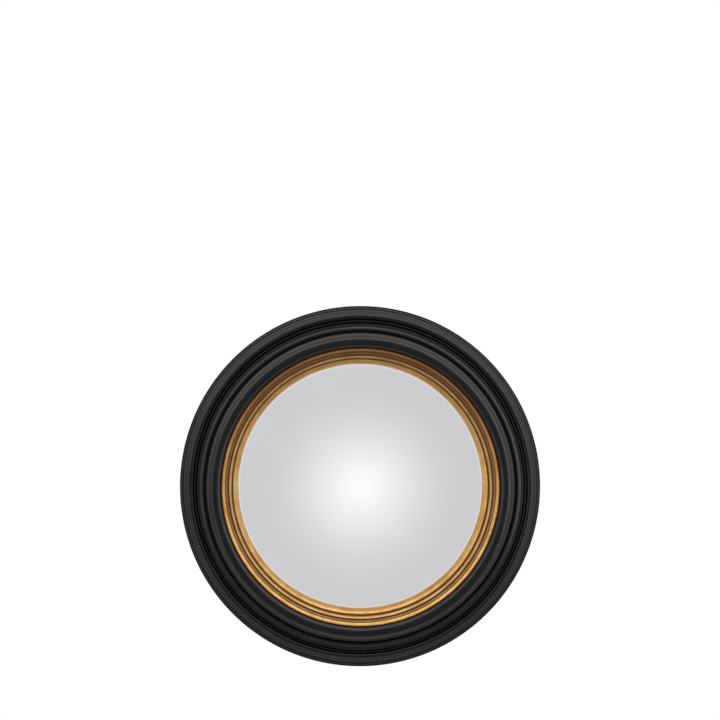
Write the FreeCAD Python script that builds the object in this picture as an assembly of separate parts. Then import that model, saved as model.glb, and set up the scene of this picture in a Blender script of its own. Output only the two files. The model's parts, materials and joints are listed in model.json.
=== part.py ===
"""Convex mirror in a built-up, turned and ebonised frame with a gilt slip.

Millimetres. The mirror's axis is the Y axis and it faces -Y; +Z is up when it hangs.
The origin is on that axis in the plane of the wall, where the rubber bumpers end.
Sections are drawn as radius from the axis and height in front of the frame's flat back.
"""
import FreeCAD, Part

import math
import os

# ---- driving sizes ---------------------------------------------------------------------
# glass
sight_diameter = 407.0       # visible opening of the gilt slip
glass_lap = 8.0              # glass hidden behind the slip, all round
glass_rise = 27.0            # bulge of the glass above its sight line
glass_thickness = 4.0
glass_side_gap = 2.0         # room round the glass in its rebate

# gilt slip, from the sight line outwards
sight_bead_width = 9.8
sight_bead_climb = 14.0
sight_bead_bow = 3.2
cove_reed_width = 5.9
cove_reed_climb = 11.0
cove_reed_bow = 2.6
worn_reed_width = 4.2
worn_reed_climb = 1.9
worn_reed_bow = 0.9
top_reed_width = 6.3
top_reed_climb = 0.3
top_reed_bow = 2.3
sight_edge = 0.8             # thickness of the slip's lip at the sight line
slip_foot_wall = 12.5        # wood beside the glass
slip_tongue = 6.8            # slip hidden under the nose of the inner moulding

# inner moulding
nose_width = 10.3
nose_radius = 11.2
nose_edge = 0.8
ovolo_width = 15.9
crevice_width = 2.6
crevice_depth = 8.0

# outer moulding, from the rim inwards
rim_height = 20.0            # straight side of the frame
rim_width = 2.2              # plain edge outside the reeds
rim_fillet = 0.6
back_round = 2.0
edge_reed_width = 3.9
edge_reed_climb = 3.8
edge_reed_bow = 1.0
middle_reed_width = 5.8
middle_reed_climb = 4.9
middle_reed_bow = 0.75
crown_width = 11.2           # broad reed over the top of the band
crown_climb = 0.9
crown_bow = 3.1
bead_quirk = 0.7             # sunk flat on each side of the bead
bead_sink = 1.6
bead_width = 3.7
bead_fall = 0.3
bead_bow = 1.75
step_run = 2.4               # steep face between the bead and the hollow
step_climb = 10.4
step_edge = 0.5
hollow_width = 5.3
hollow_climb = 0.95
hollow_bow = 0.17
roll_width = 4.8
roll_climb = 0.85
roll_bow = 0.31
roll_edge = 0.8

# how the rings seat in each other
seat_height = 24.0           # seat of the slip and the inner moulding, above the back
lip_height = 21.0            # underside of the slip's lip, above the back
ring_fit = 0.3
flat_fit = 0.1
crest_height = 56.0

# felt and packing at the glass
felt_least = 0.5
felt_inset = 1.5
packing_least = 1.5
packing_width = 7.0
seat_fit = 0.05

# backboard
board_thickness = 3.0
board_recess = 1.0
board_ledge = 9.0
board_fit = 0.5

# retaining clips
clip_count = 8
clip_width = 14.0
clip_thickness = 1.5
clip_reach = 8.0             # how far a clip lies over the packing

# screws
thread_fit = 0.05
hole_room = 0.3
joint_screw_count = 8
joint_screw_radius = 2.0
joint_screw_length = 36.0
joint_head_radius = 4.0
joint_head_depth = 2.4
board_screw_count = 8
small_screw_radius = 1.5
small_screw_length = 12.0
small_head_radius = 3.0
small_head_height = 1.8
strap_screw_radius = 1.75
strap_screw_length = 16.0
strap_head_radius = 3.5
strap_head_height = 2.0
tip_length = 3.0
tip_radius = 0.25
pan_slope = 1.0

# hangers
hanger_angle = 33.4          # from the top of the frame to a ring's pivot, in degrees
hanger_inset = 19.9          # pivot inside the frame's edge
strap_width = 14.0
strap_thickness = 1.0
strap_length = 42.0
strap_hole_first = 14.0      # below the pivot
strap_hole_pitch = 18.0
wire_radius = 1.2
pivot_fit = 0.07
ring_half_width = 10.0
ring_corner = 2.5
ring_leg = 3.0

# wall bumpers
bumper_count = 4
bumper_radius = 6.0
bumper_height = 5.0
bumper_bevel = 1.2
bumper_inset = 14.0          # centre of a bumper inside the frame's edge

# ---- places worked out from them ---------------------------------------------------------
sight_radius = sight_diameter / 2
slip_face_radius = sight_radius + sight_bead_width + cove_reed_width + worn_reed_width + top_reed_width
slip_radius = slip_face_radius + slip_tongue
crest_radius = slip_face_radius + nose_width
ovolo_radius = crest_radius + ovolo_width
pocket_radius = ovolo_radius + crevice_width
roll_radius = pocket_radius + roll_edge
hollow_radius = roll_radius + roll_width
shoulder_radius = hollow_radius + hollow_width
step_radius = shoulder_radius + step_run
crown_radius = step_radius + bead_width + 2 * bead_quirk
middle_radius = crown_radius + crown_width
edge_radius = middle_radius + middle_reed_width
band_radius = edge_radius + edge_reed_width
frame_radius = band_radius + rim_width

nose_drop = nose_radius - math.sqrt(nose_radius ** 2 - nose_width ** 2)
nose_height = crest_height - nose_drop
tongue_height = nose_height - nose_edge - flat_fit
ovolo_height = crest_height - ovolo_width
crevice_height = ovolo_height - crevice_depth
edge_height = rim_height + edge_reed_climb
middle_height = edge_height + middle_reed_climb
crown_height = middle_height + crown_climb
bead_height = crown_height - bead_sink - bead_fall
shoulder_height = bead_height + step_climb
hollow_height = shoulder_height + hollow_climb
roll_height = hollow_height + roll_climb

glass_radius = sight_radius + glass_lap
rebate_radius = glass_radius + glass_side_gap
foot_radius = rebate_radius + slip_foot_wall
bore_radius = foot_radius + ring_fit
ledge_radius = bore_radius + board_ledge
board_radius = ledge_radius - board_fit
ledge_height = board_recess + board_thickness

sphere_radius = (sight_radius ** 2 + glass_rise ** 2) / (2 * glass_rise)
sphere_height = lip_height - felt_least + glass_rise - sphere_radius
packing_outer = glass_radius - felt_inset
packing_inner = packing_outer - packing_width


def glass_front(radius):
    """Height of the glass's front face at a radius."""
    return sphere_height + math.sqrt(sphere_radius ** 2 - radius ** 2)


def glass_back(radius):
    """Height of its silvered back face at a radius."""
    inner_sphere = sphere_radius - glass_thickness
    return sphere_height + math.sqrt(inner_sphere ** 2 - radius ** 2)


foot_height = glass_back(packing_outer) - packing_least

clip_screw_ring = (rebate_radius + foot_radius) / 2
board_screw_ring = (bore_radius + board_radius) / 2
joint_screw_ring = (ledge_radius + pocket_radius) / 2
bumper_ring = frame_radius - bumper_inset
hanger_half_spacing = (frame_radius - hanger_inset) * math.sin(math.radians(hanger_angle))
hanger_pivot_height = (frame_radius - hanger_inset) * math.cos(math.radians(hanger_angle))
eye_radius = wire_radius + pivot_fit + strap_thickness


# ---- drawing helpers -----------------------------------------------------------------------
def at_height(radius, angle, height):
    """A point given by its radius, its angle from +X in degrees and its height."""
    turn = math.radians(angle)
    return FreeCAD.Vector(radius * math.cos(turn), -bumper_height - height, radius * math.sin(turn))


class Section:
    """Half of a turned piece's section, drawn edge by edge and spun about the mirror's axis."""

    def __init__(self, radius, height):
        self.start = (radius, height)
        self.last = (radius, height)
        self.edges = []

    def place(self, point):
        return at_height(point[0], 0, point[1])

    def line(self, radius, height):
        self.edges.append(Part.LineSegment(self.place(self.last), self.place((radius, height))).toShape())
        self.last = (radius, height)

    def arc(self, middle, end):
        """An arc through a middle point."""
        self.edges.append(Part.Arc(self.place(self.last), self.place(middle), self.place(end)).toShape())
        self.last = end

    def bow(self, radius, height, rise):
        """An arc to the next point that stands proud by rise, to the right of the way drawn."""
        run = radius - self.last[0]
        climb = height - self.last[1]
        chord = math.hypot(run, climb)
        middle = ((radius + self.last[0]) / 2 + rise * climb / chord,
                  (height + self.last[1]) / 2 - rise * run / chord)
        self.arc(middle, (radius, height))

    def spin(self):
        if self.last != self.start:
            self.line(*self.start)
        face = Part.Face(Part.Wire(self.edges))
        return face.revolve(FreeCAD.Vector(0, 0, 0), FreeCAD.Vector(0, 1, 0), 360)


QUARTER_BOW = 1 - math.sqrt(0.5)   # rise of a right-angle arc's middle, per radius


def spun(points):
    """A turned piece with straight edges only."""
    section = Section(*points[0])
    for point in points[1:]:
        section.line(*point)
    return section.spin()


def polar(count, first=0.0):
    """Evenly spaced angles in degrees, from the first one."""
    return [first + index * 360.0 / count for index in range(count)]


def peg(radius, low, high, ring, angle):
    """A round peg parallel to the mirror's axis, between two heights."""
    return Part.makeCylinder(radius, high - low, at_height(ring, angle, low), FreeCAD.Vector(0, -1, 0))


# ---- screws ----------------------------------------------------------------------------------
def screw_point(shank_radius, length):
    """The end of a wood screw's outline, from its shank to its point."""
    return [(shank_radius, length - tip_length), (tip_radius, length), (0, length)]


def countersunk_screw():
    """Joint screw on the mirror's axis: its flat head is flush with height 0."""
    head = [(0, 0), (joint_head_radius, 0), (joint_screw_radius, joint_head_depth)]
    return spun(head + screw_point(joint_screw_radius, joint_screw_length))


def pan_screw(shank_radius, length, head_radius, head_height):
    """Pan-head screw on the mirror's axis: the underside of its head is at height 0."""
    head = [(0, -head_height), (head_radius - pan_slope, -head_height), (head_radius, -head_height / 2),
            (head_radius, 0), (shank_radius, 0)]
    return spun(head + screw_point(shank_radius, length))


def set_out(solid, ring, angles, height):
    """Copies of a piece made on the axis, carried to a ring of places."""
    copies = []
    for angle in angles:
        copy = solid.copy()
        copy.translate(at_height(ring, angle, height) - at_height(0, 0, 0))
        copies.append(copy)
    return copies


# ---- turned rings ------------------------------------------------------------------------------
def outer_moulding():
    """Carrying ring: reeds, crown, sunk bead and shoulder in front, seat and backboard rebate inside."""
    ring = Section(frame_radius - back_round, 0)
    ring.bow(frame_radius, back_round, back_round * QUARTER_BOW)
    ring.line(frame_radius, rim_height - rim_fillet)
    ring.bow(frame_radius - rim_fillet, rim_height, rim_fillet * QUARTER_BOW)
    ring.line(band_radius, rim_height)
    ring.bow(edge_radius, edge_height, edge_reed_bow)
    ring.bow(middle_radius, middle_height, middle_reed_bow)
    ring.bow(crown_radius, crown_height, crown_bow)
    # a small bead lies sunk between the crown and the steep face
    ring.line(crown_radius - bead_quirk, bead_height + bead_fall)
    ring.bow(step_radius + bead_quirk, bead_height, bead_bow)
    ring.line(step_radius, bead_height)
    ring.line(shoulder_radius + step_edge, shoulder_height - step_edge)
    ring.bow(shoulder_radius, shoulder_height, step_edge * QUARTER_BOW)
    # shoulder: a slight hollow, then a roll up to the crevice
    ring.bow(hollow_radius, hollow_height, -hollow_bow)
    ring.bow(roll_radius, roll_height, roll_bow)
    ring.bow(pocket_radius, roll_height - roll_edge, roll_edge * QUARTER_BOW)
    ring.line(pocket_radius, seat_height)
    ring.line(bore_radius, seat_height)
    ring.line(bore_radius, ledge_height)
    ring.line(ledge_radius, ledge_height)
    ring.line(ledge_radius, 0)
    solid = ring.spin()
    for angle in joint_screw_angles:
        sink = Part.makeCone(joint_head_radius + hole_room, joint_screw_radius + hole_room, joint_head_depth,
                             at_height(joint_screw_ring, angle, 0), FreeCAD.Vector(0, -1, 0))
        hole = peg(joint_screw_radius + hole_room, 0, seat_height, joint_screw_ring, angle)
        solid = solid.cut(sink.fuse(hole))
    for angle in board_screw_angles:
        depth = board_recess + small_screw_length + hole_room
        solid = solid.cut(peg(small_screw_radius + thread_fit, board_recess, depth, board_screw_ring, angle))
    for side in (-1, 1):
        for drop in strap_drops:
            spot = FreeCAD.Vector(side * hanger_half_spacing, -bumper_height, hanger_pivot_height - drop)
            depth = strap_screw_length - strap_thickness + hole_room
            hole = Part.makeCylinder(strap_screw_radius + thread_fit, depth, spot, FreeCAD.Vector(0, -1, 0))
            solid = solid.cut(hole)
    return solid


def inner_moulding():
    """Raised ring: ovolo and nose in front, a pocket for the slip behind."""
    ring = Section(pocket_radius - ring_fit, seat_height)
    ring.line(pocket_radius - ring_fit, crevice_height)
    ring.line(ovolo_radius, crevice_height)
    ring.line(ovolo_radius, ovolo_height)
    ring.bow(crest_radius, crest_height, ovolo_width * QUARTER_BOW)
    half_chord = math.hypot(nose_width, nose_drop) / 2
    nose_bow = nose_radius - math.sqrt(nose_radius ** 2 - half_chord ** 2)
    ring.bow(slip_face_radius, nose_height, nose_bow)
    ring.line(slip_face_radius, nose_height - nose_edge)
    ring.line(slip_radius + ring_fit, nose_height - nose_edge)
    ring.line(slip_radius + ring_fit, seat_height)
    solid = ring.spin()
    for angle in joint_screw_angles:
        solid = solid.cut(peg(joint_screw_radius + thread_fit, seat_height, joint_screw_length + hole_room,
                              joint_screw_ring, angle))
    return solid


def gilt_slip():
    """Gilded ring: three reeds and a wide sight bead, with the glass rebate behind the bead."""
    reeds = [(top_reed_width, top_reed_climb, top_reed_bow),
             (worn_reed_width, worn_reed_climb, worn_reed_bow),
             (cove_reed_width, cove_reed_climb, cove_reed_bow),
             (sight_bead_width, sight_bead_climb, sight_bead_bow)]
    ring = Section(slip_radius, seat_height)
    ring.line(slip_radius, tongue_height)
    ring.line(slip_face_radius, tongue_height)
    radius = slip_face_radius
    height = lip_height + sight_edge + sum(climb for width, climb, bow in reeds)
    ring.line(radius, height)
    for width, climb, bow in reeds:
        radius -= width
        height -= climb
        ring.bow(radius, height, bow)
    ring.line(sight_radius, lip_height)
    ring.line(rebate_radius, lip_height)
    ring.line(rebate_radius, foot_height)
    ring.line(foot_radius, foot_height)
    ring.line(foot_radius, seat_height)
    solid = ring.spin()
    for angle in clip_angles:
        top = foot_height - clip_thickness + small_screw_length + hole_room
        solid = solid.cut(peg(small_screw_radius + thread_fit, foot_height, top, clip_screw_ring, angle))
    return solid


# ---- glass and what holds it ---------------------------------------------------------------------
def convex_glass():
    """A dish of even thickness between two spheres on one centre, cut square at its edge."""
    half = glass_radius / 2
    dish = Section(0, glass_front(0))
    dish.arc((half, glass_front(half)), (glass_radius, glass_front(glass_radius)))
    dish.line(glass_radius, glass_back(glass_radius))
    dish.arc((half, glass_back(half)), (0, glass_back(0)))
    return dish.spin()


def front_felt():
    """Tapered felt strip between the slip's lip and the glass."""
    inner = sight_radius + felt_inset
    outer = glass_radius - felt_inset
    return spun([(inner, glass_front(inner) + seat_fit), (outer, glass_front(outer) + seat_fit),
                 (outer, lip_height), (inner, lip_height)])


def back_packing():
    """Cork ring that fills the space between the dished glass and the flat clips."""
    return spun([(packing_inner, foot_height), (packing_outer, foot_height),
                 (packing_outer, glass_back(packing_outer) - seat_fit),
                 (packing_inner, glass_back(packing_inner) - seat_fit)])


def glass_clip(angle):
    """Flat steel clip with round ends, screwed to the slip's foot."""
    low = foot_height - clip_thickness
    inner = packing_outer - clip_reach + clip_width / 2
    outer = foot_radius - ring_fit - clip_width / 2
    plate = peg(clip_width / 2, low, foot_height, inner, 0).fuse(peg(clip_width / 2, low, foot_height, outer, 0))
    bar = Part.makeBox(outer - inner, clip_thickness, clip_width,
                       FreeCAD.Vector(inner, -bumper_height - foot_height, -clip_width / 2))
    plate = plate.fuse(bar).removeSplitter()
    plate = plate.cut(peg(small_screw_radius + hole_room, low, foot_height, clip_screw_ring, 0))
    plate.rotate(FreeCAD.Vector(0, 0, 0), FreeCAD.Vector(0, -1, 0), angle)
    return plate


def backboard():
    """Hardboard disc in the frame's rear rebate."""
    disc = peg(board_radius, board_recess, ledge_height, 0, 0)
    for angle in board_screw_angles:
        disc = disc.cut(peg(small_screw_radius + hole_room, board_recess, ledge_height, board_screw_ring, angle))
    return disc


# ---- hangers and bumpers ---------------------------------------------------------------------------
def hanger_strap(side):
    """Steel strap: a flat tongue with a rolled eye for the ring's straight bar."""
    x = side * hanger_half_spacing
    back = -bumper_height
    pivot = FreeCAD.Vector(x, back + eye_radius, hanger_pivot_height)
    low = hanger_pivot_height - strap_length + strap_width / 2
    tongue = Part.makeBox(strap_width, strap_thickness, hanger_pivot_height - low,
                          FreeCAD.Vector(x - strap_width / 2, back, low))
    end = Part.makeCylinder(strap_width / 2, strap_thickness, FreeCAD.Vector(x, back, low), FreeCAD.Vector(0, 1, 0))
    left = pivot - FreeCAD.Vector(strap_width / 2, 0, 0)
    roll = Part.makeCylinder(eye_radius, strap_width, left, FreeCAD.Vector(1, 0, 0))
    strap = tongue.fuse(end).fuse(roll)
    strap = strap.cut(Part.makeCylinder(wire_radius + pivot_fit, strap_width, left, FreeCAD.Vector(1, 0, 0)))
    for drop in strap_drops:
        spot = FreeCAD.Vector(x, back, hanger_pivot_height - drop)
        strap = strap.cut(Part.makeCylinder(strap_screw_radius + hole_room, strap_thickness, spot,
                                            FreeCAD.Vector(0, 1, 0)))
    return strap.removeSplitter()


def hanger_ring(side):
    """D-ring of round wire: a straight bar through the strap's eye, and a half-round loop."""
    x = side * hanger_half_spacing
    y = -bumper_height + eye_radius

    def spot(across, up):
        return FreeCAD.Vector(x + across, y, hanger_pivot_height + up)

    bar = ring_half_width - ring_corner
    shoulder = ring_corner + ring_leg
    slant = ring_corner * math.sqrt(0.5)
    path = [
        Part.LineSegment(spot(-bar, 0), spot(bar, 0)),
        Part.Arc(spot(bar, 0), spot(bar + slant, ring_corner - slant), spot(ring_half_width, ring_corner)),
        Part.LineSegment(spot(ring_half_width, ring_corner), spot(ring_half_width, shoulder)),
        Part.Arc(spot(ring_half_width, shoulder), spot(0, shoulder + ring_half_width),
                 spot(-ring_half_width, shoulder)),
        Part.LineSegment(spot(-ring_half_width, shoulder), spot(-ring_half_width, ring_corner)),
        Part.Arc(spot(-ring_half_width, ring_corner), spot(-bar - slant, ring_corner - slant), spot(-bar, 0)),
    ]
    wire = Part.Wire([piece.toShape() for piece in path])
    circle = Part.Wire(Part.Circle(spot(-bar, 0), FreeCAD.Vector(1, 0, 0), wire_radius).toShape())
    return wire.makePipeShell([circle], True, False)


def wall_bumper(angle):
    """Soft round pad that keeps the frame off the wall."""
    solid = spun([(0, 0), (bumper_radius, 0), (bumper_radius, bumper_bevel - bumper_height),
                  (bumper_radius - bumper_bevel, -bumper_height), (0, -bumper_height)])
    solid.translate(at_height(bumper_ring, angle, 0) - at_height(0, 0, 0))
    return solid


def strap_screws():
    """Pan-head screws, two in each strap."""
    one = pan_screw(strap_screw_radius, strap_screw_length, strap_head_radius, strap_head_height)
    screws = []
    for side in (-1, 1):
        for drop in strap_drops:
            copy = one.copy()
            copy.translate(FreeCAD.Vector(side * hanger_half_spacing, strap_thickness, hanger_pivot_height - drop))
            screws.append(copy)
    return screws


# ---- set out and written -----------------------------------------------------------------------------
joint_screw_angles = polar(joint_screw_count, 180.0 / joint_screw_count)
board_screw_angles = polar(board_screw_count)
clip_angles = polar(clip_count, 180.0 / clip_count)
bumper_angles = polar(bumper_count, 180.0 / bumper_count)
strap_drops = (strap_hole_first, strap_hole_first + strap_hole_pitch)


def build():
    """Every piece by its node's name; a list is a group of like fasteners."""
    small_screw = pan_screw(small_screw_radius, small_screw_length, small_head_radius, small_head_height)
    pieces = {
        "outer_moulding": outer_moulding(),
        "inner_moulding": inner_moulding(),
        "gilt_slip": gilt_slip(),
        "convex_glass": convex_glass(),
        "front_felt": front_felt(),
        "back_packing": back_packing(),
        "backboard": backboard(),
        "joint_screws": set_out(countersunk_screw(), joint_screw_ring, joint_screw_angles, 0),
        "board_screws": set_out(small_screw, board_screw_ring, board_screw_angles, board_recess),
        "clip_screws": set_out(small_screw, clip_screw_ring, clip_angles, foot_height - clip_thickness),
        "strap_screws": strap_screws(),
    }
    for number, angle in enumerate(clip_angles, 1):
        pieces[f"glass_clip_{number}"] = glass_clip(angle)
    for number, angle in enumerate(bumper_angles, 1):
        pieces[f"wall_bumper_{number}"] = wall_bumper(angle)
    for name, side in (("left", -1), ("right", 1)):
        pieces[f"hanger_strap_{name}"] = hanger_strap(side)
        pieces[f"hanger_ring_{name}"] = hanger_ring(side)
    return pieces


os.makedirs("parts", exist_ok=True)
for name, piece in build().items():
    shape = Part.makeCompound(piece) if isinstance(piece, list) else piece
    shape.exportStep(f"parts/{name}.step")
    volume = sum(solid.Volume for solid in shape.Solids)
    print(f"{name}: {len(shape.Solids)} solid(s), {volume:.0f} mm3")
print(f"frame diameter {2 * frame_radius:.1f}, depth {crest_height + bumper_height:.1f}")
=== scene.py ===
"""Looks of a convex mirror in a black turned frame with a gilt slip.

The turned rings and the dished glass are drawn again as fine lathe work, as radius and height in
millimetres like the solids they stand for. Everything else keeps its solid and gets its finish here.
"""

import json
import math

import bmesh
import bpy
from mathutils import Matrix, Quaternion, Vector


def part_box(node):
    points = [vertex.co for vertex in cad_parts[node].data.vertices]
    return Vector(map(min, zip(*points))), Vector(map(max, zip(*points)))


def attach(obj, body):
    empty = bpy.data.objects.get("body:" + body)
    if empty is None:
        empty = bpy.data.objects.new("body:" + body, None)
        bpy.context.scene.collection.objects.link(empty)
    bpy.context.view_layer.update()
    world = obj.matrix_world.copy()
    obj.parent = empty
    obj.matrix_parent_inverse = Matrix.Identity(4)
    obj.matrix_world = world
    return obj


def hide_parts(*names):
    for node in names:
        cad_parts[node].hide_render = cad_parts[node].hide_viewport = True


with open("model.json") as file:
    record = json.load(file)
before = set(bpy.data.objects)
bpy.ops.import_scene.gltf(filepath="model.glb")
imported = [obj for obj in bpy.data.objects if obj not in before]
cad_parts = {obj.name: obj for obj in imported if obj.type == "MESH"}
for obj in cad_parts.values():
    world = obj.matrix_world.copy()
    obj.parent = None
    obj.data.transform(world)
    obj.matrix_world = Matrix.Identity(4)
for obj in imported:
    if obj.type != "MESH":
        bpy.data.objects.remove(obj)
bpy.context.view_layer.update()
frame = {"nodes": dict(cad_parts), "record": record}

MM = 0.001

# ---- sizes in millimetres, on the frame's own solids ---------------------------------------------
BACK = -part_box("outer_moulding")[1].y / MM           # the frame's flat back, in front of the wall
CREST = -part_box("inner_moulding")[0].y / MM - BACK   # top of the inner moulding above that back
SLIP_FOOT = -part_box("gilt_slip")[1].y / MM - BACK    # underside of the gilt slip above it

SIGHT = 203.5                               # radius of the visible glass
SIGHT_BEAD = (9.8, 14.0, 3.2)               # width, climb and bow of each part of the slip
COVE_REED = (5.2, 11.0, 2.6)
WORN_REED = (4.1, 1.9, 0.9)
TOP_REED = (7.1, 0.3, 2.3)
SLIP_PARTS = (TOP_REED, WORN_REED, COVE_REED, SIGHT_BEAD)
SLIP_LIP = 0.8
LIP_HEIGHT = 21.0
FOOT_WALL = 12.5                            # the slip's wood beside the glass
TONGUE = 6.8                                # slip hidden under the nose of the inner ring
FLAT_FIT = 0.1
NOSE_WIDTH = 10.3
NOSE_RADIUS = 11.2
NOSE_EDGE = 0.8
OVOLO = 15.9                                # radius of the inner ring's quarter round
CREVICE_WIDTH = 2.6
CREVICE_DEPTH = 8.0
REEDS = ((3.9, 3.8, 1.0), (5.8, 4.9, 0.75), (11.2, 0.9, 3.1))   # two reeds and the broad crown
BEAD_QUIRK = 0.7                            # sunk flat on each side of the bead
BEAD_SINK = 1.6
BEAD = (3.7, 0.3, 1.75)                     # width, fall and bow
STEP_RUN = 2.4                              # steep face inside the bead
STEP_CLIMB = 10.4
STEP_EDGE = 0.5
HOLLOW = (5.3, 0.95, 0.17)                  # the shoulder's hollow and roll: width, climb and bow
ROLL = (4.8, 0.85, 0.31)
ROLL_EDGE = 0.8
RIM_WIDTH = 2.2                             # plain edge outside the reeds
RIM_FILLET = 0.6
RIM_HEIGHT = 20.0
BACK_ROUND = 2.0
SEAT = 24.0                                 # where the slip and the inner ring sit, above the back
RING_FIT = 0.3
BOARD_LEDGE = 9.0
LEDGE_HEIGHT = 4.0
GLASS_LAP = 8.0
GLASS_RISE = 27.0
GLASS_THICK = 4.0
GLASS_GAP = 2.0
GLASS_MARGIN = 199.6                        # the dish eases towards flat outside this radius
MARGIN_TURN = 0.8                           # how soon it eases, in millimetres
MARGIN_SLOPE = 0.22                         # rise per millimetre, against the dish, once it has
FELT = 0.5

# depth, from 0 to 1, and reach of the painted shade in each quirk: on the black the sheen is turned down
# there, on the gold it is dark wax, partly real wax and partly painted shade
RIM_SHADE = (0.6, 1.6)
REED_SHADE = ((1.0, 1.6), (0.4, 1.6), (1.0, 1.6))
DEEP_SHADE = (1.0, 1.6)                      # painted shade inside the bead, and in the crevice
FACE_SHADE = (0.9, 1.6)                       # painted shade where the slip meets the nose, darkening the outer side of the top reed
SLIP_WAX_AND_SHADE = ((0.7, 1.2), (1.0, 1.9), (1.0, 2.8), (0.35, 1.2))   # wax and painted shade after each of SLIP_PARTS
WORN_WAX_AND_SHADE = (0.5, 1.7)                       # wax and painted shade over the low crown of the worn reed, sunk between its neighbours
SLIP_STEEP = 0.4                            # the wax and its painted shade reach further up a wall than across the slip

QUARTER_BOW = 1 - math.sqrt(0.5)            # middle of a right-angle arc, per radius
STEP = 0.45                                 # millimetres between the points along an arc
TURNS = 320                                 # facets round a lathed ring
GLASS_TURNS = 256
GLASS_STEPS = 80                            # points from the middle of the glass to its edge
MERGE = 1e-6                                # metres between points that are one
SHARP = math.radians(38)                    # a bend above this keeps its hard edge

COVE_EDGE = SIGHT + SIGHT_BEAD[0] + COVE_REED[0]
FACE = COVE_EDGE + WORN_REED[0] + TOP_REED[0]
CREST_RADIUS = FACE + NOSE_WIDTH
OVOLO_RADIUS = CREST_RADIUS + OVOLO
POCKET = OVOLO_RADIUS + CREVICE_WIDTH
ROLL_RADIUS = POCKET + ROLL_EDGE
HOLLOW_RADIUS = ROLL_RADIUS + ROLL[0]
STEP_RADIUS = HOLLOW_RADIUS + HOLLOW[0] + STEP_RUN
CROWN_RADIUS = STEP_RADIUS + 2 * BEAD_QUIRK + BEAD[0]
BAND_RADIUS = CROWN_RADIUS + sum(width for width, climb, bow in REEDS)
FRAME_RADIUS = BAND_RADIUS + RIM_WIDTH
NOSE_HEIGHT = CREST - NOSE_RADIUS + math.sqrt(NOSE_RADIUS ** 2 - NOSE_WIDTH ** 2)
SPHERE = (SIGHT ** 2 + GLASS_RISE ** 2) / (2 * GLASS_RISE)
SPHERE_HEIGHT = LIP_HEIGHT - FELT + GLASS_RISE - SPHERE


# ---- lathe work ----------------------------------------------------------------------------------
class Outline:
    """Points of a turned section. Each has a groove value: up to 1 in a quirk, 0 well away from one."""

    def __init__(self, radius, height, steep=1.0):
        self.points = [(radius, height)]
        self.quirks = []
        self.steep = steep                  # share of the height that counts as distance from a quirk

    def line(self, radius, height):
        self.points.append((radius, height))

    def bow(self, radius, height, rise):
        """An arc to the next point, proud by rise to the right of the way drawn."""
        first = self.points[-1]
        run, climb = radius - first[0], height - first[1]
        chord = math.hypot(run, climb)
        bend = (chord ** 2 / 4 + rise ** 2) / (2 * rise)
        half = math.asin(max(-1.0, min(1.0, chord / 2 / bend)))
        along = (run / chord, climb / chord)
        out = (climb / chord, -run / chord)
        middle = ((radius + first[0]) / 2 - out[0] * (bend - rise),
                  (height + first[1]) / 2 - out[1] * (bend - rise))
        count = max(3, round(2 * half * bend / STEP))
        for index in range(1, count + 1):
            lean = -half + 2 * half * index / count
            self.points.append((middle[0] + bend * (math.sin(lean) * along[0] + math.cos(lean) * out[0]),
                                middle[1] + bend * (math.sin(lean) * along[1] + math.cos(lean) * out[1])))

    def quirk(self, depth, reach, point=None):
        """Painted shade in a quirk at the last point, or at another, fading out over its reach; on the gold
        it is partly real wax.
        """
        self.quirks.append((point or self.points[-1], depth, reach))

    def groove(self, point):
        values = [0.0]
        for (radius, height), depth, reach in self.quirks:
            away = math.hypot(point[0] - radius, (point[1] - height) * self.steep)
            values.append(depth * math.exp(-(away / reach) ** 2))
        return max(values)


def lathe(name, outline, turns=TURNS):
    """Spins a closed outline about the mirror's axis into a mesh object."""
    points = outline.points
    if math.dist(points[0], points[-1]) < MERGE:
        points = points[:-1]
    mesh = bpy.data.meshes.new(name)
    count = len(points)
    vertices = []
    for turn in range(turns):
        angle = 2 * math.pi * turn / turns
        cosine, sine = math.cos(angle), math.sin(angle)
        for radius, height in points:
            vertices.append((radius * cosine * MM, -(BACK + height) * MM, radius * sine * MM))
    faces = []
    for turn in range(turns):
        here, there = turn * count, (turn + 1) % turns * count
        for index in range(count):
            after = (index + 1) % count
            faces.append((here + index, here + after, there + after, there + index))
    mesh.from_pydata(vertices, [], faces)
    groove = mesh.attributes.new("groove", "FLOAT", "POINT")
    values = [outline.groove(point) for point in points]
    groove.data.foreach_set("value", values * turns)
    work = bmesh.new()
    work.from_mesh(mesh)
    bmesh.ops.remove_doubles(work, verts=work.verts, dist=MERGE)
    bmesh.ops.recalc_face_normals(work, faces=work.faces)
    work.to_mesh(mesh)
    work.free()
    mesh.shade_smooth()
    mesh.set_sharp_from_angle(angle=SHARP)
    piece = bpy.data.objects.new(name, mesh)
    bpy.context.collection.objects.link(piece)
    return piece


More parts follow.
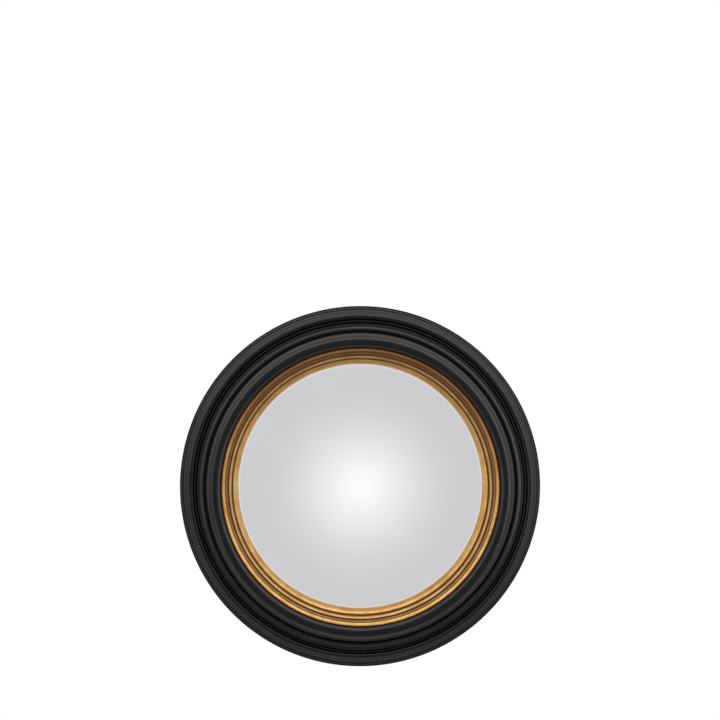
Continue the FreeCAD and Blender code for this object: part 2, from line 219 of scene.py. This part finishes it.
def outer_outline():
    """Rim, two reeds, crown, sunk bead, steep face, hollow and roll, then the seats behind them."""
    ring = Outline(FRAME_RADIUS - BACK_ROUND, 0)
    ring.bow(FRAME_RADIUS, BACK_ROUND, BACK_ROUND * QUARTER_BOW)
    ring.line(FRAME_RADIUS, RIM_HEIGHT - RIM_FILLET)
    ring.bow(FRAME_RADIUS - RIM_FILLET, RIM_HEIGHT, RIM_FILLET * QUARTER_BOW)
    ring.line(BAND_RADIUS, RIM_HEIGHT)
    ring.quirk(*RIM_SHADE)
    radius, height = BAND_RADIUS, RIM_HEIGHT
    # each reed ends in a quirk that gets painted shade
    for (width, climb, bow), dust_and_shade in zip(REEDS, REED_SHADE):
        radius -= width
        height += climb
        ring.bow(radius, height, bow)
        ring.quirk(*dust_and_shade)
    height -= BEAD_SINK
    ring.line(radius - BEAD_QUIRK, height)
    height -= BEAD[1]
    ring.bow(STEP_RADIUS + BEAD_QUIRK, height, BEAD[2])
    ring.line(STEP_RADIUS, height)
    ring.quirk(*DEEP_SHADE)
    height += STEP_CLIMB
    ring.line(STEP_RADIUS - STEP_RUN + STEP_EDGE, height - STEP_EDGE)
    ring.bow(STEP_RADIUS - STEP_RUN, height, STEP_EDGE * QUARTER_BOW)
    height += HOLLOW[1]
    ring.bow(HOLLOW_RADIUS, height, -HOLLOW[2])
    height += ROLL[1]
    ring.bow(ROLL_RADIUS, height, ROLL[2])
    ring.bow(POCKET, height - ROLL_EDGE, ROLL_EDGE * QUARTER_BOW)
    bore = SIGHT + GLASS_LAP + GLASS_GAP + FOOT_WALL + RING_FIT
    ring.line(POCKET, SEAT)
    ring.line(bore, SEAT)
    ring.line(bore, LEDGE_HEIGHT)
    ring.line(bore + BOARD_LEDGE, LEDGE_HEIGHT)
    ring.line(bore + BOARD_LEDGE, 0)
    return ring


def inner_outline():
    """The raised ring: wall of the crevice, ovolo, crest and nose."""
    ring = Outline(POCKET - RING_FIT, SEAT)
    ring.line(POCKET - RING_FIT, CREST - OVOLO - CREVICE_DEPTH)
    ring.line(OVOLO_RADIUS, CREST - OVOLO - CREVICE_DEPTH)
    ring.quirk(*DEEP_SHADE)
    ring.line(OVOLO_RADIUS, CREST - OVOLO)
    ring.bow(CREST_RADIUS, CREST, OVOLO * QUARTER_BOW)
    half_chord = math.hypot(NOSE_WIDTH, CREST - NOSE_HEIGHT) / 2
    ring.bow(FACE, NOSE_HEIGHT, NOSE_RADIUS - math.sqrt(NOSE_RADIUS ** 2 - half_chord ** 2))
    ring.line(FACE, NOSE_HEIGHT - NOSE_EDGE)
    ring.line(FACE + TONGUE + RING_FIT, NOSE_HEIGHT - NOSE_EDGE)
    ring.line(FACE + TONGUE + RING_FIT, SEAT)
    return ring


def slip_outline():
    """The gilt slip: its four shaped parts from the nose inwards, then the glass's rebate behind."""
    tongue = NOSE_HEIGHT - NOSE_EDGE - FLAT_FIT
    ring = Outline(FACE + TONGUE, SEAT, SLIP_STEEP)
    ring.line(FACE + TONGUE, tongue)
    ring.line(FACE, tongue)
    radius, height = FACE, LIP_HEIGHT + SLIP_LIP + sum(climb for width, climb, bow in SLIP_PARTS)
    ring.line(radius, height)
    # painted shade on the top reed, beside the nose that shades it
    ring.quirk(*FACE_SHADE)
    # wax and painted shade in each quirk of the slip
    for (width, climb, bow), wax_and_shade in zip(SLIP_PARTS, SLIP_WAX_AND_SHADE):
        radius -= width
        height -= climb
        ring.bow(radius, height, bow)
        ring.quirk(*wax_and_shade)
        if (width, climb, bow) == WORN_REED:
            ring.quirk(*WORN_WAX_AND_SHADE, (radius + width / 2, height + climb / 2 + bow))
    rebate = SIGHT + GLASS_LAP + GLASS_GAP
    ring.line(SIGHT, LIP_HEIGHT)
    ring.line(rebate, LIP_HEIGHT)
    ring.line(rebate, SLIP_FOOT)
    ring.line(rebate + FOOT_WALL, SLIP_FOOT)
    ring.line(rebate + FOOT_WALL, SEAT)
    return ring


def glass_outline():
    """The dished glass: a spherical front that eases at its margin, the edge and a spherical back."""
    edge = SIGHT + GLASS_LAP
    inner = SPHERE - GLASS_THICK
    radii = [edge * index / GLASS_STEPS for index in range(1, GLASS_STEPS + 1)]
    glass = Outline(0, SPHERE_HEIGHT + SPHERE)
    for radius in radii:
        past = max(0.0, radius - GLASS_MARGIN)
        lift = past ** 2 / (past + MARGIN_TURN) * MARGIN_SLOPE
        glass.line(radius, SPHERE_HEIGHT + math.sqrt(SPHERE ** 2 - radius ** 2) + lift)
    for radius in reversed(radii):
        glass.line(radius, SPHERE_HEIGHT + math.sqrt(inner ** 2 - radius ** 2))
    glass.line(0, SPHERE_HEIGHT + inner)
    return glass


# ---- materials -----------------------------------------------------------------------------------
STREAK_STRETCH = 0.012                      # metres of pattern per radian: streaks are long round the ring
LEAVES = 17                                 # leaves of about 80 mm round the slip
LAP_WIDTH = 0.016                           # of a leaf's length, 1.3 mm
LAP_WAVER = 0.03                            # how far the grain bends a lap, of a leaf's length
PAINTED_SHADE_LOW = -120.0                          # height in millimetres at which the painted shade on the outer reeds starts
PAINTED_SHADE_HIGH = 150.0                          # and at which it is strongest
PAINTED_SHADE_SHARE = 0.85
PAINTED_SHADE_FADE = 1.0                            # half the width of its edge


def linear(code):
    """An sRGB hex colour as linear RGBA."""
    channels = [int(code[index:index + 2], 16) / 255 for index in (1, 3, 5)]
    return tuple(c / 12.92 if c <= 0.04045 else ((c + 0.055) / 1.055) ** 2.4 for c in channels) + (1.0,)


def add(tree, kind, inputs=None, **settings):
    """Adds a node, sets its properties and its inputs; an input given as a socket is linked."""
    node = tree.nodes.new("ShaderNode" + kind)
    for key, value in settings.items():
        setattr(node, key, value)
    for key, value in (inputs or {}).items():
        if isinstance(value, bpy.types.NodeSocket):
            tree.links.new(value, node.inputs[key])
        else:
            node.inputs[key].default_value = value
    return node


def surface(name, **values):
    """A material with one Principled shader; values are its plain inputs, with _ for a space."""
    material = bpy.data.materials.new(name)
    material.use_nodes = True
    tree = material.node_tree
    tree.nodes.clear()
    shader = add(tree, "BsdfPrincipled", {key.replace("_", " "): value for key, value in values.items()})
    add(tree, "OutputMaterial", {"Surface": shader.outputs["BSDF"]})
    return material, tree, shader


def ramp(tree, factor, stops):
    """Colours blended along a factor. Its stops aren't inputs, so they come as pairs of place and
    hex colour."""
    node = add(tree, "ValToRGB", {"Fac": factor})
    elements = node.color_ramp.elements
    while len(elements) < len(stops):
        elements.new(0.5)
    for element, (place, code) in zip(elements, stops):
        element.position = place
        element.color = linear(code)
    return node.outputs["Color"]


def turned_coordinates(tree):
    """Object coordinates, distance from the mirror's axis, angle round it and depth, in metres and
    radians."""
    place = add(tree, "TexCoord").outputs["Object"]
    split = add(tree, "SeparateXYZ", {"Vector": place})
    squares = [add(tree, "Math", {0: split.outputs[axis], 1: 2.0}, operation="POWER").outputs[0]
               for axis in ("X", "Z")]
    total = add(tree, "Math", {0: squares[0], 1: squares[1]}, operation="ADD")
    radius = add(tree, "Math", {0: total.outputs[0], 1: 0.5}, operation="POWER").outputs[0]
    angle = add(tree, "Math", {0: split.outputs["Z"], 1: split.outputs["X"]}, operation="ARCTAN2").outputs[0]
    return place, radius, angle, split.outputs["Y"]


def ebonised_lacquer():
    """Turned wood, stained black and sprayed with satin lacquer: a soft even sheen that follows
    the curves, with the faintest rings left by the turning tool, and painted shade in the quirks, where the
    sheen is turned down."""
    material, tree, shader = surface("ebonised_satin_lacquer")
    place, radius, _, depth = turned_coordinates(tree)
    # tool rings 0.9 mm apart, coarser than real ones so that they show
    rings = add(tree, "CombineXYZ", {"X": radius, "Y": depth, "Z": 0.0})
    lines = add(tree, "TexNoise", {"Vector": rings.outputs[0], "Scale": 1 / (0.9 * MM), "Detail": 2.0})
    cloud = add(tree, "TexNoise", {"Vector": place, "Scale": 1 / (38 * MM), "Detail": 3.0})
    dust_and_shade = add(tree, "TexNoise", {"Vector": place, "Scale": 1 / (1.6 * MM), "Detail": 2.0})
    colour = ramp(tree, cloud.outputs["Fac"], [(0.3, "#090909"), (0.7, "#0d0c0c")])
    tree.links.new(colour, shader.inputs["Base Color"])
    sheen = add(tree, "MapRange", {"Value": cloud.outputs["Fac"], "From Min": 0.3, "From Max": 0.7,
                                   "To Min": 0.25, "To Max": 0.31})
    tree.links.new(sheen.outputs[0], shader.inputs["Roughness"])
    # painted shade: near each quirk the sheen is turned down so that the quirk renders dark
    groove = add(tree, "Attribute", attribute_name="groove").outputs["Fac"]
    gloss = add(tree, "MapRange", {"Value": groove, "To Min": 0.5, "To Max": 0.08})
    tree.links.new(gloss.outputs[0], shader.inputs["Specular IOR Level"])
    height = add(tree, "Math", {0: lines.outputs["Fac"], 1: dust_and_shade.outputs["Fac"]}, operation="ADD")
    bump = add(tree, "Bump", {"Height": height.outputs[0], "Strength": 0.12, "Distance": 0.05 * MM})
    tree.links.new(bump.outputs[0], shader.inputs["Normal"])
    return material


def water_gilding():
    """Gold leaf burnished over red clay on turned wood, toned with brown wax: warm metal on the
    crowns, clay rubbed through in places, lap lines of the leaf, dark wax with painted shade in the quirks,
    and painted shade browning the outer reeds towards the top."""
    material, tree, shader = surface("water_gilt_leaf")
    place, radius, angle, depth = turned_coordinates(tree)
    groove = add(tree, "Attribute", attribute_name="groove").outputs["Fac"]
    # burnishing streaks run round the ring, 1.5 mm apart across it, coarser than real so that they show
    length = add(tree, "Math", {0: angle, 1: STREAK_STRETCH}, operation="MULTIPLY").outputs[0]
    along = add(tree, "CombineXYZ", {"X": radius, "Y": depth, "Z": length})
    streaks = add(tree, "TexNoise", {"Vector": along.outputs[0], "Scale": 1 / (1.5 * MM), "Detail": 4.0,
                                     "Roughness": 0.65})
    cloud = add(tree, "TexNoise", {"Vector": place, "Scale": 1 / (22 * MM), "Detail": 4.0, "Roughness": 0.6})
    grain = add(tree, "TexNoise", {"Vector": place, "Scale": 1 / (2.2 * MM), "Detail": 5.0, "Roughness": 0.7})
    gold = ramp(tree, cloud.outputs["Fac"], [(0.3, "#cc974e"), (0.5, "#dfad64"), (0.72, "#ecc07c")])
    # clay shows where streaks and grain both run high
    rub = add(tree, "Math", {0: streaks.outputs["Fac"], 1: grain.outputs["Fac"]}, operation="MULTIPLY")
    rubbed = add(tree, "MapRange", {"Value": rub.outputs[0], "From Min": 0.29, "From Max": 0.42})
    # the leaves lap round the ring, and some of the laps have worn to a thin line
    count = add(tree, "Math", {0: angle, 1: LEAVES / (2 * math.pi)}, operation="MULTIPLY").outputs[0]
    waver = add(tree, "Math", {0: grain.outputs["Fac"], 1: LAP_WAVER, 2: count},
                operation="MULTIPLY_ADD").outputs[0]
    share = add(tree, "Math", {0: waver}, operation="FRACT").outputs[0]
    line = add(tree, "MapRange", {"Value": share, "From Max": LAP_WIDTH, "To Min": 0.8, "To Max": 0.0})
    keep = add(tree, "MapRange", {"Value": cloud.outputs["Fac"], "From Min": 0.47, "From Max": 0.56})
    lap = add(tree, "Math", {0: line.outputs[0], 1: keep.outputs[0]}, operation="MULTIPLY").outputs[0]
    bare = add(tree, "Math", {0: rubbed.outputs[0], 1: lap}, operation="MAXIMUM").outputs[0]
    leaf = add(tree, "Mix", {"Factor": bare, "A": gold, "B": linear("#8a4a26")}, data_type="RGBA")
    # wax and painted shade: full in the quirk, breaking up with the grain as it leaves it
    wax_and_shade = add(tree, "Math", {0: groove, 1: grain.outputs["Fac"], 2: groove}, operation="MULTIPLY_ADD")
    dark = add(tree, "MapRange", {"Value": wax_and_shade.outputs[0], "From Min": 0.2, "From Max": 1.0}).outputs[0]
    waxed_and_shaded = add(tree, "Mix", {"Factor": dark, "A": leaf.outputs["Result"], "B": linear("#3a1d0a")},
                data_type="RGBA")
    # painted shade: the outer reeds, outside the cove, are browned, most towards the top of the mirror, where
    # the nose shades them from the light above
    rise = add(tree, "SeparateXYZ", {"Vector": place}).outputs["Z"]
    above = add(tree, "MapRange", {"Value": rise, "From Min": PAINTED_SHADE_LOW * MM, "From Max": PAINTED_SHADE_HIGH * MM,
                                   "To Max": PAINTED_SHADE_SHARE})
    outside = add(tree, "MapRange", {"Value": radius, "From Min": (COVE_EDGE - PAINTED_SHADE_FADE) * MM,
                                     "From Max": (COVE_EDGE + PAINTED_SHADE_FADE) * MM})
    painted_shade = add(tree, "Math", {0: above.outputs[0], 1: outside.outputs[0]}, operation="MULTIPLY")
    colour = add(tree, "Mix", {"Factor": painted_shade.outputs[0], "A": waxed_and_shaded.outputs["Result"],
                               "B": linear("#5a3418")}, data_type="RGBA")
    tree.links.new(colour.outputs["Result"], shader.inputs["Base Color"])
    # clay, and the wax with its painted shade, are dull and aren't metal
    dull = add(tree, "Math", {0: bare, 1: dark}, operation="MAXIMUM")
    metal = add(tree, "MapRange", {"Value": dull.outputs[0], "To Min": 0.9, "To Max": 0.15})
    tree.links.new(metal.outputs[0], shader.inputs["Metallic"])
    rough = add(tree, "MapRange", {"Value": dull.outputs[0], "To Min": 0.4, "To Max": 0.7})
    tree.links.new(rough.outputs[0], shader.inputs["Roughness"])
    height = add(tree, "Math", {0: streaks.outputs["Fac"], 1: grain.outputs["Fac"]}, operation="ADD")
    bump = add(tree, "Bump", {"Height": height.outputs[0], "Strength": 0.25, "Distance": 0.12 * MM})
    tree.links.new(bump.outputs[0], shader.inputs["Normal"])
    return material


def silvered_glass():
    """Dished glass silvered on its back: a clean neutral mirror with a trace of waviness."""
    material, tree, shader = surface("silvered_glass", Metallic=1.0, Roughness=0.03)
    place = add(tree, "TexCoord").outputs["Object"]
    cloud = add(tree, "TexNoise", {"Vector": place, "Scale": 1 / (90 * MM), "Detail": 1.0})
    colour = ramp(tree, cloud.outputs["Fac"], [(0.3, "#f6f8fa"), (0.7, "#f9fafb")])
    tree.links.new(colour, shader.inputs["Base Color"])
    bump = add(tree, "Bump", {"Height": cloud.outputs["Fac"], "Strength": 0.05, "Distance": 0.2 * MM})
    tree.links.new(bump.outputs[0], shader.inputs["Normal"])
    return material


def pressed_hardboard():
    """Wood fibre pressed smooth: warm brown with short darker fibres and a dull face. The fibres are
    2.4 mm wide, coarser than real ones so that they show."""
    material, tree, shader = surface("pressed_hardboard", Roughness=0.62)
    place = add(tree, "TexCoord").outputs["Object"]
    stretched = add(tree, "Mapping", {"Vector": place, "Scale": (1.0, 1.0, 0.35)})
    fibres = add(tree, "TexNoise", {"Vector": stretched.outputs[0], "Scale": 1 / (2.4 * MM), "Detail": 6.0,
                                    "Roughness": 0.7, "Distortion": 0.8})
    cloud = add(tree, "TexNoise", {"Vector": place, "Scale": 1 / (60 * MM), "Detail": 2.0})
    mixed = add(tree, "Math", {0: cloud.outputs["Fac"], 1: 0.25, 2: fibres.outputs["Fac"]},
                operation="MULTIPLY_ADD")
    colour = ramp(tree, mixed.outputs[0], [(0.45, "#553620"), (0.62, "#775133"), (0.8, "#8a6342")])
    tree.links.new(colour, shader.inputs["Base Color"])
    bump = add(tree, "Bump", {"Height": fibres.outputs["Fac"], "Strength": 0.3, "Distance": 0.15 * MM})
    tree.links.new(bump.outputs[0], shader.inputs["Normal"])
    return material


def plated_steel(name, light, shade, patch, roughness):
    """Pressed steel with a thin plating: bright but soft, with faint patches, a few millimetres
    across, from the plating bath."""
    material, tree, shader = surface(name, Metallic=1.0)
    place = add(tree, "TexCoord").outputs["Object"]
    cloud = add(tree, "TexNoise", {"Vector": place, "Scale": 1 / (patch * MM), "Detail": 4.0})
    colour = ramp(tree, cloud.outputs["Fac"], [(0.35, shade), (0.65, light)])
    tree.links.new(colour, shader.inputs["Base Color"])
    rough = add(tree, "MapRange", {"Value": cloud.outputs["Fac"], "From Min": 0.3, "From Max": 0.7,
                                   "To Min": roughness, "To Max": roughness + 0.12})
    tree.links.new(rough.outputs[0], shader.inputs["Roughness"])
    return material


def soft_fill(name, light, shade, grit, roughness, depth):
    """Felt, cork or rubber: a dull surface speckled at its own grain size."""
    material, tree, shader = surface(name, Roughness=roughness)
    place = add(tree, "TexCoord").outputs["Object"]
    grain = add(tree, "TexVoronoi", {"Vector": place, "Scale": 1 / (grit * MM)})
    cloud = add(tree, "TexNoise", {"Vector": place, "Scale": 1 / (grit * 3 * MM), "Detail": 3.0})
    colour = ramp(tree, cloud.outputs["Fac"], [(0.35, shade), (0.65, light)])
    tree.links.new(colour, shader.inputs["Base Color"])
    bump = add(tree, "Bump", {"Height": grain.outputs["Distance"], "Strength": 0.4, "Distance": depth * MM})
    tree.links.new(bump.outputs[0], shader.inputs["Normal"])
    return material


lacquer = ebonised_lacquer()
gilding = water_gilding()
silver = silvered_glass()
hardboard = pressed_hardboard()
zinc = plated_steel("zinc_plated_steel", "#c6c4bd", "#b1afa8", 4.0, 0.3)
nickel = plated_steel("nickel_plated_steel", "#cbc6bb", "#bab4a9", 6.0, 0.2)
felt = soft_fill("black_wool_felt", "#1c1b1a", "#121111", 0.5, 0.95, 0.2)
cork = soft_fill("pressed_cork", "#a47c50", "#6e4a2a", 1.5, 0.85, 0.2)
rubber = soft_fill("moulded_rubber", "#201f1e", "#161515", 0.8, 0.7, 0.05)


# ---- pieces --------------------------------------------------------------------------------------
def finish_piece(piece, material, node):
    """Gives a lathed piece its finish and puts it in the place of its solid."""
    piece.data.materials.append(material)
    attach(piece, "frame")
    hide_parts(node)


outer = lathe("turned_outer_ring", outer_outline())
finish_piece(outer, lacquer, "outer_moulding")
inner = lathe("turned_inner_ring", inner_outline())
finish_piece(inner, lacquer, "inner_moulding")
gilt = lathe("gilt_ring", slip_outline())
finish_piece(gilt, gilding, "gilt_slip")
mirror = lathe("mirror_dish", glass_outline(), GLASS_TURNS)
finish_piece(mirror, silver, "convex_glass")

FINISHES = {"ebonised_wood": lacquer, "gilded_wood": gilding, "mirror_glass": silver, "felt": felt,
            "cork": cork, "hardboard": hardboard, "zinc_steel": zinc, "nickel_steel": nickel,
            "rubber": rubber}
for subpart in frame["record"]["subparts"]:
    solid = frame["nodes"][subpart["node"]]
    for holder in solid.material_slots:
        holder.material = FINISHES[subpart["material_slot"]]


# ---- floor, light and camera ---------------------------------------------------------------------
FLOOR_HEIGHT = -0.9                         # metres, as the studio's other sizes are
FLOOR_RADIUS = 1.6
FADE_START = 0.5                            # shares of the floor's radius
FADE_END = 0.96
FRONT_LEVEL = 0.26                          # strength of the world in front, where the room is
LOW_LEVEL = 0.32                            # and at the sides, from below
HIGH_LEVEL = 1.35                           # to above
LOW_WAY = -0.8                              # how far down and up, as parts of a unit direction,
HIGH_WAY = 0.9                              # those two levels are reached
FRONT_EDGE = 38.0                           # degrees off straight ahead where the front ends
SIDE_EDGE = 86.0                            # and where the sides begin
DIFFUSER_PLACE = (0.07, -2.9, -0.2)         # where the glass mirrors the camera's line of sight
DIFFUSER_WIDTH = 4.6
DIFFUSER_GLOW = 0.72                        # share of the card's radius that the glow takes
DIFFUSER_RIM = 0.385                        # radiance of the card outside its glow
DIFFUSER_MIDDLE = 0.40                      # and how much its middle adds
GLOW_SQUARE = 1.9                           # the glow rises as this share of a square
GLOW_CUBE = -0.9                            # and this share of a cube


def studio_floor():
    """A pale round floor that fades out before its edge and leaves reflections alone."""
    mesh = bpy.data.meshes.new("studio_floor")
    disc = bmesh.new()
    bmesh.ops.create_circle(disc, cap_ends=True, segments=96, radius=FLOOR_RADIUS,
                            matrix=Matrix.Translation((0, 0, FLOOR_HEIGHT)))
    disc.to_mesh(mesh)
    disc.free()
    floor = bpy.data.objects.new("studio_floor", mesh)
    bpy.context.collection.objects.link(floor)
    material, tree, shader = surface("pale_studio_floor", Roughness=0.8, Base_Color=linear("#f2f2f1"))
    place = add(tree, "TexCoord").outputs["Object"]
    flat = add(tree, "VectorMath", {0: place, 1: (1.0, 1.0, 0.0)}, operation="MULTIPLY").outputs["Vector"]
    length = add(tree, "VectorMath", {0: flat}, operation="LENGTH").outputs["Value"]
    fade = add(tree, "MapRange", {"Value": length, "From Min": FADE_START * FLOOR_RADIUS,
                                  "From Max": FADE_END * FLOOR_RADIUS},
               interpolation_type="SMOOTHSTEP").outputs[0]
    glossy = add(tree, "LightPath").outputs["Is Glossy Ray"]
    hidden = add(tree, "Math", {0: fade, 1: glossy}, operation="MAXIMUM")
    clear = add(tree, "BsdfTransparent")
    shown = add(tree, "MixShader", {0: hidden.outputs[0], 1: shader.outputs["BSDF"],
                                    2: clear.outputs["BSDF"]})
    output = next(node for node in tree.nodes if node.type == "OUTPUT_MATERIAL")
    tree.links.new(shown.outputs[0], output.inputs["Surface"])
    mesh.materials.append(material)


def studio_world():
    """White to the camera and to rays that pass through a piece. As light it is dim in front, where
    the room is, and brighter above and at the sides than below."""
    world = bpy.data.worlds.new("studio")
    bpy.context.scene.world = world
    world.use_nodes = True
    tree = world.node_tree
    tree.nodes.clear()
    way = add(tree, "TexCoord").outputs["Generated"]
    parts = add(tree, "SeparateXYZ", {"Vector": way}).outputs
    front = add(tree, "Math", {0: parts["Y"], 1: -1.0}, operation="MULTIPLY").outputs[0]
    angle = add(tree, "Math", {0: front}, operation="ARCCOSINE").outputs[0]
    degrees = add(tree, "Math", {0: angle, 1: math.degrees(1.0)}, operation="MULTIPLY").outputs[0]
    side = add(tree, "MapRange", {"Value": degrees, "From Min": FRONT_EDGE, "From Max": SIDE_EDGE},
               interpolation_type="SMOOTHSTEP").outputs[0]
    upward = add(tree, "MapRange", {"Value": parts["Z"], "From Min": LOW_WAY, "From Max": HIGH_WAY,
                                    "To Min": LOW_LEVEL, "To Max": HIGH_LEVEL}).outputs[0]
    level = add(tree, "Mix", {"Factor": side, "A": FRONT_LEVEL, "B": upward}).outputs["Result"]
    path = add(tree, "LightPath").outputs
    seen = add(tree, "Math", {0: path["Is Camera Ray"], 1: path["Is Transmission Ray"]},
               operation="MAXIMUM").outputs[0]
    strength = add(tree, "Mix", {"Factor": seen, "A": level, "B": 1.0}).outputs["Result"]
    light = add(tree, "Background", {"Color": (1, 1, 1, 1), "Strength": strength})
    add(tree, "OutputWorld", {"Surface": light.outputs[0]})


def softbox(name, place, aim, size, radiance, lit=()):
    """A plain square-edged lamp that the camera doesn't see; radiance 1 reflects as white. With a
    list of pieces it lights only those."""
    data = bpy.data.lights.new(name, "AREA")
    data.shape = "RECTANGLE"
    data.size, data.size_y = size
    data.energy = radiance * math.pi * size[0] * size[1]
    lamp = bpy.data.objects.new(name, data)
    bpy.context.collection.objects.link(lamp)
    lamp.location = place
    lamp.rotation_mode = "QUATERNION"
    lamp.rotation_quaternion = (Vector(aim) - Vector(place)).to_track_quat("-Z", "Y")
    lamp.visible_camera = False
    if lit:
        only = bpy.data.collections.new(name + "_lights")
        for piece in lit:
            only.objects.link(piece)
        lamp.light_linking.receiver_collection = only
    return lamp


def card(name, clock, radiance, lit, radius, forward, aim, size):
    """A long lit card beside the frame, its long side along the rim. Its clock place is in degrees
    from the top, clockwise as seen from the front, and it faces the radius that aim gives."""
    turn = math.radians(clock)
    outward = Vector((math.sin(turn), 0.0, math.cos(turn)))
    place = outward * radius - Vector((0.0, forward, 0.0))
    lamp = softbox(name, place, outward * aim, size, radiance, lit)
    along = lamp.rotation_quaternion.inverted() @ Vector((math.cos(turn), 0.0, -math.sin(turn)))
    roll = Quaternion((0, 0, 1), math.atan2(along.y, along.x))
    lamp.rotation_quaternion = lamp.rotation_quaternion @ roll


def round_diffuser(lit):
    """A round white card in front, brightest at its middle: it is what the dished glass shows and
    what lights the gold from the front."""
    # a disc has pi / 4 of the area of the square that softbox takes it for
    lamp = softbox("round_diffuser", DIFFUSER_PLACE, (0, 0, 0), (DIFFUSER_WIDTH, DIFFUSER_WIDTH),
                   math.pi / 4, lit)
    lamp.data.shape = "DISK"
    lamp.data.use_nodes = True
    tree = lamp.data.node_tree
    tree.nodes.clear()
    place = add(tree, "NewGeometry").outputs["Parametric"]
    middle = add(tree, "VectorMath", {0: place, 1: (0.5, 0.5, 0.0)}, operation="SUBTRACT").outputs["Vector"]
    reach = add(tree, "VectorMath", {0: middle}, operation="LENGTH").outputs["Value"]
    inward = add(tree, "MapRange", {"Value": reach, "From Min": 0.5 * DIFFUSER_GLOW,
                                    "From Max": 0.0}).outputs[0]
    square = add(tree, "Math", {0: inward, 1: 2.0}, operation="POWER").outputs[0]
    bend = add(tree, "Math", {0: inward, 1: GLOW_CUBE, 2: GLOW_SQUARE}, operation="MULTIPLY_ADD").outputs[0]
    glow = add(tree, "Math", {0: square, 1: bend}, operation="MULTIPLY").outputs[0]
    level = add(tree, "Math", {0: glow, 1: DIFFUSER_MIDDLE, 2: DIFFUSER_RIM}, operation="MULTIPLY_ADD")
    light = add(tree, "Emission", {"Color": (1, 1, 1, 1), "Strength": level.outputs[0]})
    add(tree, "OutputLight", {"Surface": light.outputs[0]})


NEAR_CARD = {"radius": 0.80, "forward": 0.57, "aim": 0.05, "size": (0.64, 0.24)}
LOW_CARD = {"radius": 0.80, "forward": 0.31, "aim": 0.29, "size": (0.64, 0.30)}
FAR_CARD = {"radius": 2.0, "forward": 2.0, "aim": 0.0, "size": (1.7, 0.45)}
SIDE_CARD = {"radius": 2.0, "forward": 2.0, "aim": 0.0, "size": (2.0, 0.45)}
HIGH_CARD = {"radius": 2.4, "forward": 1.6, "aim": 0.0, "size": (2.4, 0.6)}
FILL_PLACE = (0.0, -2.9, 0.5)
FILL_SIZE = (8.0, 7.0)
FILL_RADIANCE = 0.5
WARM_WHITE = (1.0, 0.90, 0.78)


def studio_lamps():
    """Cards round the mirror. Most light the black rings alone, the two at the sides light all, and
    the last three light the gold, or the gold and the glass. Each has its clock place and radiance."""
    black = [outer, inner]
    near = (("above", 0, 0.85), ("above_right", 45, 1.25), ("right", 90, 1.4), ("above_left", -45, 1.1))
    low = (("below", 180, 0.9), ("below_right", 135, 0.7), ("below_left", -135, 0.7))
    far = (("above", 0, 2.6), ("above_right", 45, 2.0), ("above_left", -45, 1.6))
    for name, clock, radiance in near:
        card("near_card_" + name, clock, radiance, black, **NEAR_CARD)
    for name, clock, radiance in low:
        card("near_card_" + name, clock, radiance, black, **LOW_CARD)
    for name, clock, radiance in far:
        card("far_card_" + name, clock, radiance, black, **FAR_CARD)
    card("far_card_right", 90, 1.8, (), **SIDE_CARD)
    card("far_card_left", -90, 2.0, (), **SIDE_CARD)
    card("gilt_card_above", 0, 2.5, [gilt], **HIGH_CARD)
    fill = softbox("front_fill", FILL_PLACE, (0, 0, 0), FILL_SIZE, FILL_RADIANCE, [gilt])
    fill.data.color = WARM_WHITE
    round_diffuser([mirror, gilt])


RIM_ACROSS = 360.5                          # the frame's width in the picture, in pixels
PIXEL = 2 * FRAME_RADIUS * MM / RIM_ACROSS  # metres per picture pixel at the rim
PICTURE = 720
SENSOR = 36.0                               # millimetres
DISTANCE = 3.0                              # camera to the rim's edge
MIRROR_ACROSS = 360.46                      # the mirror's centre in the picture, in pixels
MIRROR_DOWN = 486.2
SIDE_STEP = -0.07                           # the camera stands a little to the left


def studio_camera():
    """Level, higher than the mirror's centre and a little to its left, turned so that the mirror
    comes where the photo has it."""
    data = bpy.data.cameras.new("camera")
    camera = bpy.data.objects.new("camera", data)
    bpy.context.collection.objects.link(camera)
    data.sensor_width = SENSOR
    data.lens = SENSOR / PICTURE * DISTANCE / PIXEL
    rim = -(BACK + RIM_HEIGHT) * MM
    height = (MIRROR_DOWN - PICTURE / 2) * PIXEL
    aim = Vector(((PICTURE / 2 - MIRROR_ACROSS) * PIXEL, rim, height))
    camera.location = Vector((SIDE_STEP, rim - DISTANCE, height))
    camera.rotation_mode = "QUATERNION"
    camera.rotation_quaternion = (aim - camera.location).to_track_quat("-Z", "Y")
    bpy.context.scene.camera = camera


studio_floor()
studio_world()
studio_lamps()
studio_camera()
bpy.context.scene.view_settings.view_transform = "Standard"
